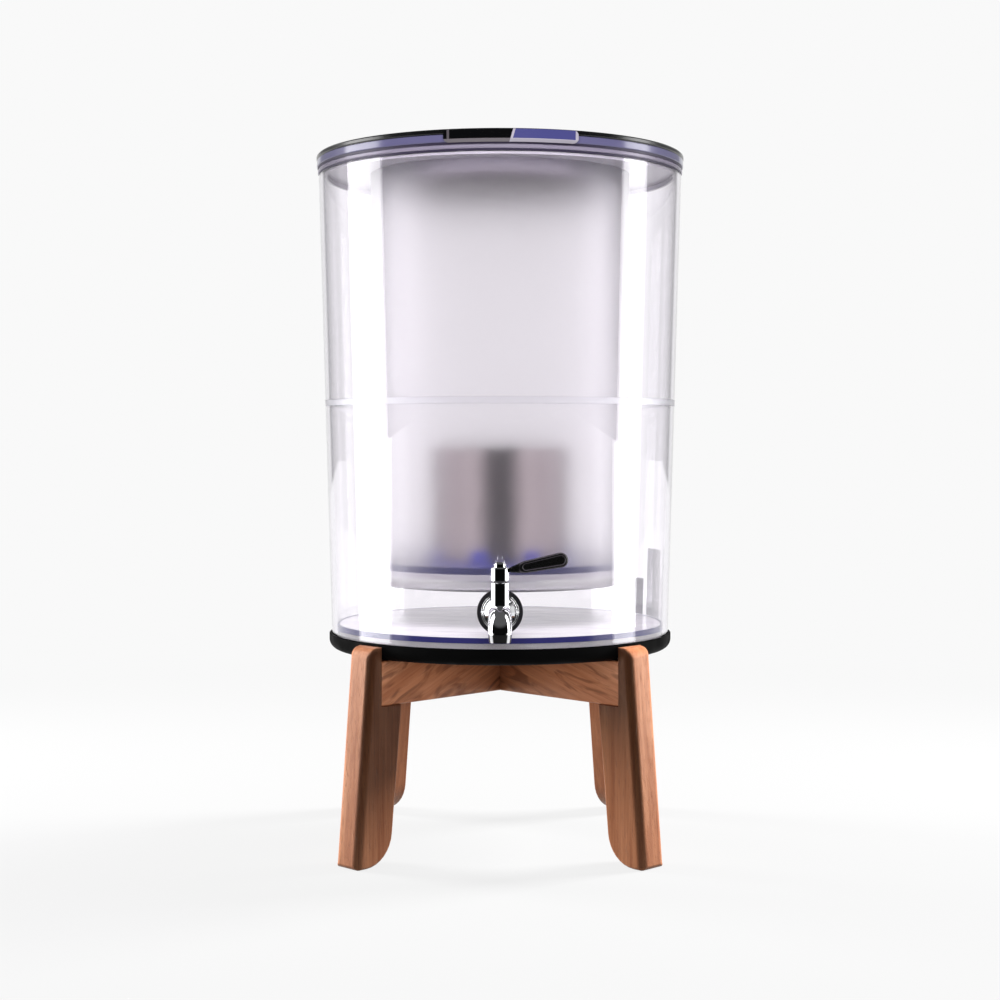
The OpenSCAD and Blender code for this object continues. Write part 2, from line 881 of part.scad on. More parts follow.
leg_front_left();
leg_front_right();
leg_back_left();
leg_back_right();
beam_lower();
beam_upper();
leg_dowels();
lap_screw();
base_tray();
tank_lower_section();
tank_joint_ring();
tank_upper_section();
floor_ledge();
tank_floor();
floor_seal();
rim_gasket();
blank_labels();
tap_outer_gasket();
tap_escutcheon();
tap_body();
tap_gland();
tap_inner_gasket();
tap_locknut();
tap_plug();
tap_plug_rings();
tap_cap_washer();
tap_cap();
tap_cap_screw();
lever_arm();
lever_grip();
vessel_wall();
vessel_hanger_ring();
vessel_floor();
vessel_seal();
cartridge_shell();
cartridge_cap();
cartridge_base();
cartridge_media();
cartridge_pads();
cartridge_washer();
cartridge_nut_washer();
cartridge_nut();
lid_plate();
lid_ring();
lid_gasket();
lid_drum();
lid_grip();
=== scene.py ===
"""Looks of a gravity water filter with a tap: finishes, rounded wood, studio light and camera.

Everything is in metres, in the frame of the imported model: +Z is up and the tap faces -Y.
"""

import json
import math

import bmesh
import bpy
from mathutils import Matrix, Vector


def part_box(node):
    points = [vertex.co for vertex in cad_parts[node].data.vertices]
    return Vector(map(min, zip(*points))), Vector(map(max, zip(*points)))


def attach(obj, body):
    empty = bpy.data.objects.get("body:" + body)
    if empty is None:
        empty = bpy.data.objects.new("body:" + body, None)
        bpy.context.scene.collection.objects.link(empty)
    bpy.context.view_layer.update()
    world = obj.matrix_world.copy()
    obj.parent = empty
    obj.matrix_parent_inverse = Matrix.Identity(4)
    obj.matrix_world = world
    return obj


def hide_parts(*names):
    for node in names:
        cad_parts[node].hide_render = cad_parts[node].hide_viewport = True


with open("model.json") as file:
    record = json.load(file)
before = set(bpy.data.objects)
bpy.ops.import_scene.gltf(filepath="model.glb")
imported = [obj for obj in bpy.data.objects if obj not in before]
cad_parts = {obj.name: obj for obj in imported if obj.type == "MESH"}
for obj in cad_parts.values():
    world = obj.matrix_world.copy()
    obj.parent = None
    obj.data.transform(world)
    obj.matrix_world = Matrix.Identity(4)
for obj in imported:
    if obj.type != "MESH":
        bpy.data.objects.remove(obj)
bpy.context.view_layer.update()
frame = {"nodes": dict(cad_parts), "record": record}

# Background
WHITE = 0.947               # radiance of the pale background
THROUGH = 1.22              # how much brighter it is through glass, which makes up for reflection losses

# Floor
FLOOR_SIZE = 14.0           # side of the floor
FLOOR_COLOUR = (0.33, 0.33, 0.33, 1)
FLOOR_BOUNCE = (0.05, 0.05, 0.05, 1)    # its colour as dull surfaces receive it
POOL = (0.20, 0.28)         # distances between which the lit pool under the stand ends
POOL_LIGHT = 0.10           # radiance of the pool as dull surfaces receive it
FLOOR_GLOW = 0.88           # share of the floor near the object that shows as plain background
FLOOR_FADE = (0.35, 1.3)    # distances between which the floor turns into background
APRON = (0.26, 0.40)        # distances between which the floor turns into the dark room for mirrors
APRON_AHEAD = (0.35, 0.55)  # how straight ahead it starts
APRON_COLOUR = (0.006, 0.006, 0.006, 1)

# Room: "how straight ahead" is 1 straight in front of the object, 0 at its sides and -1 behind it
FRONT_EDGE = (0.10, 0.20)   # how straight ahead the dark room in front starts
FRONT_GLOSS = 0.004         # radiance of the dark room in front, as mirrors show it
FRONT_FILL = 0.012          # its radiance as dull surfaces receive it
INSIDE_FILL = 0.90          # the same inside the frosted vessel, which spreads the light of the lamps
INSIDE = 2.5                # see-through surfaces passed on the way into it
BEHIND_EDGE = (-0.55, -0.75)    # how straight ahead the white behind ends for dull surfaces
CARD_GLOSS = 0.38           # radiance of the grey cards behind at both sides, as mirrors show them
CARD_NEAR = (-0.45, -0.60)  # how straight ahead the cards end in front
CARD_FAR = (-0.85, -0.90)   # how straight ahead they end behind
CARD_RIGHT = 0.18           # how much further forward the right one reaches
OVERHEAD = (0.30, 0.60)     # upward part of the directions between which overhead starts
TOP_GLOSS = 0.10            # radiance overhead, as mirrors show it
TOP_FILL = 0.30             # its radiance as dull surfaces receive it

# Rays that passed more glass than the tank has, and so came through the frosted vessel too
DEEP = 6.5                  # number of glass surfaces that tells them apart
DEEP_GAIN = 1.38            # how much brighter the background is for them
DEEP_SHARE = 0.041          # share of a softbox's light that is left for them
DEEP_DIM = 0.80             # brightness of the room at the sides and behind for them
DEEP_PEAK = 2.07            # its brightness beside the dark room
DEEP_RISE = (0.15, 0.60)    # how straight ahead it turns from one to the other
DEEP_FRONT = (0.84, 0.92)   # how straight ahead the dark room starts for them

# Lamps: side (-1 is left), azimuths of both edges from the front in degrees, bottom, top and radiance
SOFTBOX_DISTANCE = 1.3
MIRRORED_RADIANCE = 5.8
MIRRORED_BOXES = {
    "softbox_left": (-1, 75, 105, 0.01, 1.75, MIRRORED_RADIANCE),
    "softbox_right": (1, 78.5, 99, 0.01, 1.75, MIRRORED_RADIANCE),
}
BOX_ON_FLOOR = (0.70, 0.75)     # distances between which the floor starts to carry on their mirror image
WOOD_BOXES = {
    "wood_lamp_left": (-1, 103, 122, 0.12, 1.3, 44.0),
    "wood_lamp_right": (1, 103, 122, 0.55, 1.7, 84.0),
}
BACK_SHARE = 0.40           # share of the wood lamps' light that the back legs and the beams get
DULL_BOXES = {
    "lamp_left": (-1, 80, 112, 0.20, 2.0, 2.4),
    "lamp_right": (1, 80, 112, 0.20, 2.0, 2.4),
}
FRONT_BOXES = {"lamp_front": (1, -18, 18, 0.10, 1.0, 5.8)}
NODE_BOXES = {      # each lights only the node that it is named after
    "vessel_hanger_ring": (1, -18, 18, 0.0, 0.15, 24.0),
    "lid_drum": (1, -18, 18, 0.10, 1.0, 6.0),
    "tank_floor": (1, -30, 30, 0.90, 1.8, 20.0),
}
BEAM_BOXES = {
    "beam_lamp_left": (-1, 42, 74, 0.01, 0.35, 13.5),
    "beam_lamp_right": (1, 42, 74, 0.01, 0.35, 13.5),
}

# Camera: level, found from the ellipses in the photo
CAMERA_PLACE = (0, -1.465, 0.3194)
CAMERA_LENS = 65.05         # in millimetres
CAMERA_SHIFT = -0.0585

# Wood
EARLY, LATE = (194, 130, 92), (146, 84, 53)     # its growth lines' colours on screen
BEAM_FIGURE = 0.75          # strength of the slanting bands in the beams
LEG_ANGLES = {
    "leg_front_left": -135, "leg_front_right": -45,
    "leg_back_left": 135, "leg_back_right": 45,
}
BEAM_ANGLES = {"beam_lower": 45, "beam_upper": -45}
LEG_ROUND = 0.0062          # radius of the outer edges of a leg
LEG_EASE = 0.0022           # radius of its other edges
BEAM_EASE = 0.0013          # radius of a beam's long edges
LONG_EDGE = 0.05            # length from which an edge of a beam counts as long
NOTCH_EASE = 0.0006         # radius of the edges around the notch that takes the beam
HEAD_EASE = 0.0035          # radius where the outer edges end on top of a leg
HEAD_DROP = 0.008           # height of the round between a leg's outer face and its top
HEAD_SHARE = 0.8            # share of a leg's height above which an outer corner is its head's
ROUND_STEPS = 6             # faces across a rounded edge of a leg
BEAM_STEPS = 3              # and of a beam
WOOD_SHARP = 32             # angle in degrees from which an edge of the wood shows as sharp
WOOD_SHIFT = (0.37, 0.19, 0.53)     # step in the grain pattern from one piece of wood to the next

# Tap flange: the turned steps on its face, as shares of its radius and thickness
STEPS = [
    (1.0, 0.16), (0.985, 0.26), (0.96, 0.30), (0.935, 0.26), (0.925, 0.30), (0.915, 0.48), (0.895, 0.60),
    (0.87, 0.64), (0.85, 0.58), (0.84, 0.66), (0.835, 0.86), (0.825, 0.97), (0.80, 1.0),
]
STEP_SIDES = 96             # faces around it
STEP_SHARP = 40             # angle in degrees from which a step shows as sharp

# Lever: depths behind its front between which the painted highlight outline starts and ends
HIGHLIGHT_OUTLINE_IN = (0.00005, 0.00020)
HIGHLIGHT_OUTLINE_OUT = (0.0007, 0.0011)
LEVER_NECK = 0.0065         # length of the thin neck, which has no painted highlight outline
NECK_FADE = 0.002           # length over which the painted highlight outline starts

# Lid grip
GRIP_REFLECTION_BEVEL = 0.0024         # height of its lower bevel, which carries a painted reflection
GRIP_END_HIGHLIGHT = 0.0022           # width of the painted highlight strip at its right end
GRIP_SPOT_HIGHLIGHT = 0.0035         # distance of the painted highlight spot from its left end
GRIP_HIGHLIGHT_HALF = 0.0009          # half width of that painted spot and of the painted highlight on the ridge between the two colours
GRIP_SPLIT = -0.1545        # where the slanting line between the two colours stands
GRIP_SLANT = 0.30           # how far it moves to the right for each unit of height

# Other pieces
RING_EDGE = 0.0006          # depth of the hanger ring's darker cut edge
DRUM_SHADE_BAND = (0.0028, 0.0034)  # heights between which the painted shade on the drum's bottom turns into its wall

# Meshes
FLAT = 1e-5                 # lengths below this count as none
JOINED = 1e-6               # distance below which two corners are made one
SMOOTH = 1                  # angle in degrees below which two faces are made one


def srgb(red, green, blue):
    """A colour given as 0 to 255 on screen, as a linear RGBA colour."""
    def linear(value):
        share = value / 255
        return share / 12.92 if share <= 0.04045 else ((share + 0.055) / 1.055) ** 2.4
    return (linear(red), linear(green), linear(blue), 1.0)


class Graph:
    """Short calls that add nodes to a node tree."""

    def __init__(self, tree):
        self.tree = tree
        tree.nodes.clear()

    def add(self, kind, values=None, **settings):
        """Adds a node. values gives its inputs, each as a number, a colour or another node's socket."""
        node = self.tree.nodes.new("ShaderNode" + kind)
        for name, value in settings.items():
            setattr(node, name, value)
        for name, value in (values or {}).items():
            if isinstance(value, bpy.types.NodeSocket):
                self.tree.links.new(value, node.inputs[name])
            else:
                node.inputs[name].default_value = value
        return node

    def math(self, operation, a, b=0.0):
        return self.add("Math", {0: a, 1: b}, operation=operation).outputs[0]

    def opposite(self, share):
        """1 minus the share."""
        return self.math("SUBTRACT", 1.0, share)

    def smooth(self, value, low, high, start=0.0, end=1.0):
        """Goes smoothly from start to end as value goes from low to high."""
        made = self.add("MapRange", {"Value": value, "From Min": low, "From Max": high,
                                     "To Min": start, "To Max": end},
                        interpolation_type="SMOOTHSTEP")
        return made.outputs["Result"]

    def noise(self, coords, scale, detail=3.0, rough=0.5, distortion=0.0):
        made = self.add("TexNoise", {"Vector": coords, "Scale": scale, "Detail": detail,
                                     "Roughness": rough, "Distortion": distortion})
        return made.outputs["Fac"]

    def stretched(self, scale):
        """Object coordinates, scaled along each axis."""
        coords = self.add("TexCoord").outputs["Object"]
        return self.add("Mapping", {"Vector": coords, "Scale": scale}).outputs[0]

    def between(self, share, first, second):
        """A number between two numbers."""
        return self.add("Mix", {0: share, 2: first, 3: second}).outputs[0]

    def blend(self, share, first, second):
        """A colour between two colours."""
        made = self.add("Mix", {0: share, 6: first, 7: second}, data_type="RGBA")
        return made.outputs[2]

    def bump(self, height, strength, distance):
        made = self.add("Bump", {"Height": height, "Strength": strength, "Distance": distance})
        return made.outputs["Normal"]

    def output(self, surface, volume=None, kind="OutputMaterial"):
        values = {"Surface": surface}
        if volume is not None:
            values["Volume"] = volume
        self.add(kind, values)


def material(name):
    """A new material and the graph of its nodes."""
    mat = bpy.data.materials.new(name)
    mat.use_nodes = True
    return mat, Graph(mat.node_tree)


# Rays


def deep_ray(graph):
    """1 for rays that came through the frosted vessel, and 0 for others."""
    return graph.math("GREATER_THAN", graph.add("LightPath").outputs["Transmission Depth"], DEEP)


def dull_ray(graph):
    """1 for rays that a dull surface sent out, and 0 for others."""
    return graph.math("GREATER_THAN", graph.add("LightPath").outputs["Diffuse Depth"], 0.5)


def straight_ray(graph):
    """1 for rays that show the background straight, also through glass, and 0 for others."""
    path = graph.add("LightPath").outputs
    bounced = graph.math("ADD", path["Glossy Depth"], path["Diffuse Depth"])
    straight = graph.math("LESS_THAN", bounced, 0.5)
    through = graph.math("MULTIPLY", path["Is Transmission Ray"], straight)
    return graph.math("MAXIMUM", path["Is Camera Ray"], through)


def plain_white(graph):
    """Radiance of the plain background: WHITE to the camera, and more through glass."""
    behind = graph.between(deep_ray(graph), WHITE * THROUGH, WHITE * THROUGH * DEEP_GAIN)
    return graph.between(graph.add("LightPath").outputs["Is Transmission Ray"], WHITE, behind)


def deep_room(graph, ahead):
    """Radiance of the room as it shows through the frosted vessel."""
    return graph.smooth(ahead, *DEEP_RISE, WHITE * DEEP_DIM, WHITE * DEEP_PEAK)


# Studio


def make_world():
    """White behind and at the sides with two grey cards, dim overhead, and a dark room in front."""
    world = bpy.data.worlds.new("studio")
    bpy.context.scene.world = world
    world.use_nodes = True
    world.cycles.sampling_method = "NONE"
    g = Graph(world.node_tree)
    direction = g.add("SeparateXYZ", {0: g.add("TexCoord").outputs["Generated"]}).outputs
    flat = g.math("SQRT", g.math("SUBTRACT", 1.0, g.math("MULTIPLY", direction["Z"], direction["Z"])))
    forward = g.math("DIVIDE", g.math("MULTIPLY", direction["Y"], -1.0), g.math("MAXIMUM", flat, 0.01))
    dull, deep = dull_ray(g), deep_ray(g)
    inside = g.math("GREATER_THAN", g.add("LightPath").outputs["Transparent Depth"], INSIDE)
    in_front = g.between(deep, g.smooth(forward, *FRONT_EDGE), g.smooth(forward, *DEEP_FRONT))
    room = g.between(dull, FRONT_GLOSS, g.between(inside, FRONT_FILL, INSIDE_FILL))
    right = g.math("MULTIPLY", g.math("GREATER_THAN", direction["X"], 0.0), CARD_RIGHT)
    card_near = g.smooth(g.math("SUBTRACT", forward, right), *CARD_NEAR)
    card_far = g.smooth(forward, *CARD_FAR)
    card = g.between(g.math("SUBTRACT", card_near, card_far), WHITE, CARD_GLOSS)
    side = g.between(g.smooth(forward, *BEHIND_EDGE), room, WHITE)
    backdrop = g.between(deep, card, deep_room(g, forward))
    around = g.between(dull, g.between(in_front, backdrop, room), side)
    overhead = g.math("MULTIPLY", g.smooth(direction["Z"], *OVERHEAD), g.opposite(deep))
    sky = g.between(overhead, around, g.between(dull, TOP_GLOSS, TOP_FILL))
    strength = g.between(straight_ray(g), sky, plain_white(g))
    light = g.add("Background", {"Color": (1, 1, 1, 1), "Strength": strength}).outputs[0]
    g.output(light, kind="OutputWorld")


def make_softbox(name, mirrored, side, near, far, bottom, top, radiance):
    """A tall lamp that faces the object's axis and shows only in mirrors and glass, or only lights.

    side is -1 on the left and 1 on the right, and near and far are the azimuths of its edges.
    """
    middle, half = math.radians((near + far) / 2), math.radians((far - near) / 2)
    width = 2 * SOFTBOX_DISTANCE * math.tan(half)
    height = top - bottom
    lamp = bpy.data.lights.new(name, "AREA")
    lamp.shape = "RECTANGLE"
    lamp.size, lamp.size_y = width, height
    lamp.energy = radiance * math.pi * width * height
    lamp.use_nodes = True
    g = Graph(lamp.node_tree)
    seen = g.math("MULTIPLY", g.between(deep_ray(g), 1.0, DEEP_SHARE), g.opposite(straight_ray(g)))
    g.output(g.add("Emission", {"Strength": seen}).outputs[0], kind="OutputLight")
    box = bpy.data.objects.new(name, lamp)
    bpy.context.scene.collection.objects.link(box)
    out = Vector((side * math.sin(middle), -math.cos(middle), 0))
    box.location = out * SOFTBOX_DISTANCE + Vector((0, 0, (bottom + top) / 2))
    box.rotation_euler = out.to_track_quat("Z", "Y").to_euler()
    box.visible_diffuse = not mirrored
    box.visible_glossy = mirrored
    box.visible_transmission = mirrored
    return box


def make_softboxes(boxes, mirrored, ending="", share=1.0):
    """One lamp for each entry, with a share of its radiance. ending is added to its name."""
    return [make_softbox(name + ending, mirrored, *sizes, radiance * share)
            for name, (*sizes, radiance) in boxes.items()]


def boxes_on_floor(g, azimuth, distance):
    """1 where the floor carries on the mirror image of a softbox that ends above it, and 0 elsewhere."""
    boxes = 0.0
    for side, near, far, *_ in MIRRORED_BOXES.values():
        off = g.math("ABSOLUTE", g.math("SUBTRACT", azimuth, side * (near + far) / 2))
        boxes = g.math("ADD", boxes, g.math("LESS_THAN", off, (far - near) / 2))
    return g.math("MULTIPLY", boxes, g.smooth(distance, *BOX_ON_FLOOR))


def floor_paper():
    """Paper that shows as background, but receives shadows and turns dark in mirrors that look ahead."""
    mat, g = material("floor_paper")
    mat.cycles.emission_sampling = "NONE"
    coords = g.add("TexCoord").outputs["Object"]
    place = g.add("SeparateXYZ", {0: coords}).outputs
    distance = g.add("VectorMath", {0: coords}, operation="LENGTH").outputs["Value"]
    toward = g.math("MULTIPLY", place["Y"], -1.0)
    ahead = g.math("DIVIDE", toward, distance)
    azimuth = g.math("DEGREES", g.math("ARCTAN2", place["X"], toward))
    straight, deep, dull = straight_ray(g), deep_ray(g), dull_ray(g)

    sector = g.between(deep, g.smooth(ahead, *APRON_AHEAD), g.smooth(ahead, *DEEP_FRONT))
    room = g.math("MULTIPLY", g.smooth(distance, *APRON), sector)
    dark = g.math("MULTIPLY", room, g.opposite(straight))
    tone = g.blend(dull, FLOOR_COLOUR, FLOOR_BOUNCE)
    paper = g.add("BsdfDiffuse", {"Color": g.blend(dark, tone, APRON_COLOUR)}).outputs[0]
    pool = g.math("MULTIPLY", dull, g.smooth(distance, *POOL, start=POOL_LIGHT, end=0.0))
    lit = g.add("AddShader", {0: paper, 1: g.add("Emission", {"Strength": pool}).outputs[0]}).outputs[0]

    bounced = g.opposite(g.math("MAXIMUM", straight, deep))
    boxes = g.math("MULTIPLY", boxes_on_floor(g, azimuth, distance), bounced)
    mirrored = g.math("MULTIPLY", deep, g.opposite(straight))
    background = g.between(mirrored, plain_white(g), deep_room(g, ahead))
    plain = g.add("Emission", {"Strength": g.between(boxes, background, MIRRORED_RADIANCE)}).outputs[0]

    gloss = g.math("MULTIPLY", g.add("LightPath").outputs["Is Glossy Ray"], g.opposite(dark))
    shown = g.math("MAXIMUM", g.math("MAXIMUM", straight, gloss),
                   g.math("MULTIPLY", boxes, g.opposite(dull)))
    glow = g.smooth(distance, *FLOOR_FADE, start=FLOOR_GLOW, end=1.0)
    g.output(g.add("MixShader", {0: g.math("MULTIPLY", glow, shown), 1: lit, 2: plain}).outputs[0])
    return mat


def make_floor():
    """A pale floor that shows as the background, with the object's shadow kept on it."""
    mesh = bpy.data.meshes.new("floor")
    half = FLOOR_SIZE / 2
    corners = [(-half, -half, 0), (half, -half, 0), (half, half, 0), (-half, half, 0)]
    mesh.from_pydata(corners, [], [(0, 1, 2, 3)])
    mesh.materials.append(floor_paper())
    floor = bpy.data.objects.new("floor", mesh)
    bpy.context.scene.collection.objects.link(floor)
    return floor


def lights_only(boxes, receivers, state="INCLUDE"):
    """Lets the lamps light only these objects, or all others if state is EXCLUDE."""
    for box in boxes:
        group = bpy.data.collections.new(box.name + "_set")
        box.light_linking.receiver_collection = group
        for receiver in receivers:
            group.objects.link(receiver)
        for entry in group.collection_objects:
            entry.light_linking.link_state = state


def make_camera():
    """The photo's camera, as far as it could be worked out."""
    data = bpy.data.cameras.new("camera")
    data.lens = CAMERA_LENS
    data.shift_y = CAMERA_SHIFT
    camera = bpy.data.objects.new("camera", data)
    bpy.context.scene.collection.objects.link(camera)
    camera.location = CAMERA_PLACE
    camera.rotation_euler = (math.pi / 2, 0, 0)
    bpy.context.scene.camera = camera


# Materials


def let_lamps_through(g, shader, tint):
    """Glass that lets light from lamps and dull surfaces pass straight through, tinted."""
    path = g.add("LightPath").outputs
    passing = g.math("MAXIMUM", path["Is Shadow Ray"], path["Is Diffuse Ray"])
    clear = g.add("BsdfTransparent", {"Color": tint}).outputs[0]
    return g.add("MixShader", {0: passing, 1: shader, 2: clear}).outputs[0]


def acrylic(name, colour, rough, tint, murk=None):
    """Clear acrylic. murk is (colour, density per metre) of the tint that builds up along its depth."""
    mat, g = material(name)
    waves = g.noise(g.stretched((1, 1, 0.4)), 14.0, 1.0)
    shader = g.add("BsdfPrincipled", {
        "Base Color": colour, "Roughness": rough, "IOR": 1.49, "Transmission Weight": 1.0,
        "Normal": g.bump(waves, 0.02, 0.002),
    }).outputs[0]
    volume = None
    if murk:
        volume = g.add("VolumeAbsorption", {"Color": murk[0], "Density": murk[1]}).outputs[0]
    g.output(let_lamps_through(g, shader, tint), volume)
    return mat


def frosted(name):
    """Frosted clear plastic, which spreads what is seen through it."""
    mat, g = material(name)
    grain = g.noise(g.stretched((1, 1, 1)), 900.0, 2.0)
    shader = g.add("BsdfPrincipled", {
        "Base Color": (0.85, 0.843, 0.848, 1), "Roughness": 0.42, "IOR": 1.3,
        "Transmission Weight": 0.96, "Normal": g.bump(grain, 0.06, 0.0004),
    }).outputs[0]
    g.output(let_lamps_through(g, shader, (0.88, 0.87, 0.89, 1)))
    return mat


def opal(name):
    """White acrylic with a few faint swirls, glossy, that lets some light down to what is under it."""
    mat, g = material(name)
    swirls = g.noise(g.stretched((1, 2.6, 1)), 15.0, 1.5, 0.5, 1.2)
    shader = g.add("BsdfPrincipled", {
        "Base Color": g.blend(g.smooth(swirls, 0.40, 0.68), srgb(254, 252, 254), srgb(238, 233, 240)),
        "Roughness": 0.10, "Coat Weight": 0.3, "Coat Roughness": 0.03,
    }).outputs[0]
    g.output(let_lamps_through(g, shader, (0.6, 0.6, 0.6, 1)))
    return mat


def milky(name):
    """Thick milky acrylic, in which light spreads."""
    mat, g = material(name)
    clouds = g.noise(g.stretched((1, 1, 1)), 50.0, 3.0)
    g.output(g.add("BsdfPrincipled", {
        "Base Color": g.blend(clouds, srgb(236, 222, 218), srgb(246, 238, 238)),
        "Subsurface Weight": 1.0, "Subsurface Radius": (1.0, 0.95, 0.95), "Subsurface Scale": 0.02,
        "Roughness": 0.2,
    }).outputs[0])
    return mat


def milky_ring(name):
    """Pale lilac plastic, partly see-through, with a darker cut edge."""
    mat, g = material(name)
    clouds = g.noise(g.stretched((1, 1, 1)), 50.0, 3.0)
    place = g.add("VectorMath", {0: g.stretched((1, 1, 0))}, operation="LENGTH").outputs["Value"]
    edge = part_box("vessel_hanger_ring")[1].x - RING_EDGE
    at_edge = g.math("GREATER_THAN", place, edge)
    pale = g.blend(clouds, srgb(226, 220, 232), srgb(240, 236, 245))
    shader = g.add("BsdfPrincipled", {
        "Base Color": g.blend(at_edge, pale, srgb(138, 130, 150)),
        "Roughness": 0.25, "IOR": 1.4, "Transmission Weight": g.between(at_edge, 0.10, 0.0),
    }).outputs[0]
    g.output(let_lamps_through(g, shader, (0.7, 0.7, 0.74, 1)))
    return mat


def moulded(name, colour, rough, mottle=0.06, coat=0.0, level=0.5):
    """Moulded plastic or rubber with a fine uneven surface."""
    mat, g = material(name)
    clouds = g.noise(g.stretched((1, 1, 1)), 60.0, 4.0, 0.6)
    dark = tuple(c * (1 - mottle) for c in colour[:3]) + (1,)
    light = tuple(min(1, c * (1 + mottle)) for c in colour[:3]) + (1,)
    fine = g.noise(g.stretched((1, 1, 1)), 1400.0, 2.0)
    g.output(g.add("BsdfPrincipled", {
        "Base Color": g.blend(clouds, dark, light),
        "Roughness": g.smooth(clouds, 0.3, 0.7, rough * 0.85, rough * 1.15),
        "Coat Weight": coat, "Coat Roughness": 0.03, "Specular IOR Level": level,
        "Normal": g.bump(fine, 0.05, 0.0002),
    }).outputs[0])
    return mat


def metal(name, colour, rough, brush=(1, 1, 1), depth=0.0):
    """Bright metal with faint marks that run along the axis on which brush is small."""
    mat, g = material(name)
    lines = g.noise(g.stretched(brush), 420.0, 3.0, 0.6)
    cloud = g.noise(g.stretched((1, 1, 1)), 70.0, 3.0)
    shade = tuple(c * 0.93 for c in colour[:3]) + (1,)
    values = {
        "Base Color": g.blend(cloud, shade, colour), "Metallic": 1.0,
        "Roughness": g.smooth(lines, 0.25, 0.75, rough * 0.7, rough * 1.3),
    }
    if depth:
        values["Normal"] = g.bump(lines, depth, 0.0002)
    g.output(g.add("BsdfPrincipled", values).outputs[0])
    return mat


def lever_painted_outline(name):
    """Black plastic of the lever, with a painted highlight in its groove and along its chamfer."""
    mat, g = material(name)
    place = g.add("SeparateXYZ", {0: g.stretched((1, 1, 1))}).outputs
    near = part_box("lever_grip")[0]
    depth = g.math("SUBTRACT", place["Y"], near.y)
    # Painted highlight: a lighter band just behind the lever's front, fading in after the neck
    highlight_band = g.math("MULTIPLY", g.smooth(depth, *HIGHLIGHT_OUTLINE_IN),
                   g.smooth(depth, *HIGHLIGHT_OUTLINE_OUT, start=1.0, end=0.0))
    neck = near.x + LEVER_NECK
    line = g.math("MULTIPLY", highlight_band, g.smooth(place["X"], neck, neck + NECK_FADE))
    fine = g.noise(g.stretched((1, 1, 1)), 1400.0, 2.0)
    g.output(g.add("BsdfPrincipled", {
        "Base Color": g.blend(line, (0.004, 0.004, 0.004, 1), srgb(84, 79, 85)),
        "Roughness": g.smooth(fine, 0.3, 0.7, 0.22, 0.34), "Specular IOR Level": 0.3,
        "Normal": g.bump(fine, 0.05, 0.0002),
    }).outputs[0])
    return mat


def film(name):
    """Thin grey translucent label."""
    mat, g = material(name)
    weave = g.noise(g.stretched((1, 1, 1)), 500.0, 3.0)
    colour = g.blend(weave, srgb(150, 148, 156), srgb(172, 170, 178))
    g.output(g.add("BsdfPrincipled", {
        "Base Color": colour, "Roughness": 0.45, "Alpha": 0.62,
        "Normal": g.bump(weave, 0.1, 0.0001),
    }).outputs[0])
    return mat


def granules(name):
    """Black carbon grains."""
    mat, g = material(name)
    cells = g.add("TexVoronoi", {"Vector": g.stretched((1, 1, 1)), "Scale": 700.0}).outputs
    g.output(g.add("BsdfPrincipled", {
        "Base Color": g.blend(cells["Distance"], srgb(38, 37, 38), srgb(70, 68, 70)),
        "Roughness": 0.75, "Normal": g.bump(cells["Distance"], 0.8, 0.0006),
    }).outputs[0])
    return mat


def felt(name):
    """White filter felt."""
    mat, g = material(name)
    hairs = g.noise(g.stretched((1, 1, 1)), 1100.0, 5.0, 0.8, 0.6)
    g.output(g.add("BsdfPrincipled", {
        "Base Color": g.blend(hairs, srgb(214, 211, 203), srgb(240, 238, 232)),
        "Roughness": 0.95, "Sheen Weight": 0.4, "Normal": g.bump(hairs, 0.7, 0.0008),
    }).outputs[0])
    return mat


def wood(name, early, late, axis="Z", tilt=0.0, figure=0.0):
    """Oiled hardwood, cut so that fine growth lines run along the piece's own axis.

    tilt turns the lines out of that axis, in degrees. figure is the strength of broad slanting bands.
    """
    mat, g = material(name)
    coords = g.add("TexCoord").outputs["Object"]
    piece = g.add("ObjectInfo").outputs["Object Index"]
    steps = {i: g.math("MULTIPLY", piece, step) for i, step in enumerate(WOOD_SHIFT)}
    shift = g.add("CombineXYZ", steps).outputs[0]
    moved = g.add("VectorMath", {0: coords, 1: shift}, operation="ADD").outputs[0]
    turned = g.add("Mapping", {"Vector": moved, "Rotation": (0, math.radians(tilt), 0)}).outputs[0]

    def along(share):
        scale = (1, 1, share) if axis == "Z" else (share, 1, 1)
        return g.add("Mapping", {"Vector": turned, "Scale": scale}).outputs[0]

    lines = g.noise(along(0.03), 330.0, 4.0, 0.62, 0.25)
    broad = g.noise(along(0.06), 75.0, 3.0, 0.55, 0.4)
    pores = g.smooth(g.noise(along(0.045), 1700.0, 2.0, 0.6), 0.57, 0.70)
    bands = g.noise(along(0.22), 95.0, 2.0, 0.5, 1.4)
    tone = g.math("ADD", g.math("MULTIPLY", g.smooth(lines, 0.30, 0.70), 0.50),
                  g.math("MULTIPLY", g.smooth(broad, 0.30, 0.72), 0.50))
    body = g.blend(tone, early, late)
    dark = tuple(c * 0.50 for c in late[:3]) + (1,)
    banded = g.blend(g.math("MULTIPLY", g.smooth(bands, 0.52, 0.66), figure), body, dark)
    colour = g.blend(g.math("MULTIPLY", pores, 0.5), banded, dark)
    height = g.math("SUBTRACT", g.math("MULTIPLY", lines, 0.3), pores)
    g.output(g.add("BsdfPrincipled", {
        "Base Color": colour, "Roughness": g.smooth(broad, 0.3, 0.7, 0.36, 0.48),
        "Specular IOR Level": 0.55, "Specular Tint": (1.0, 0.80, 0.66, 1),
        "Normal": g.bump(height, 0.35, 0.0003),
    }).outputs[0])
    return mat


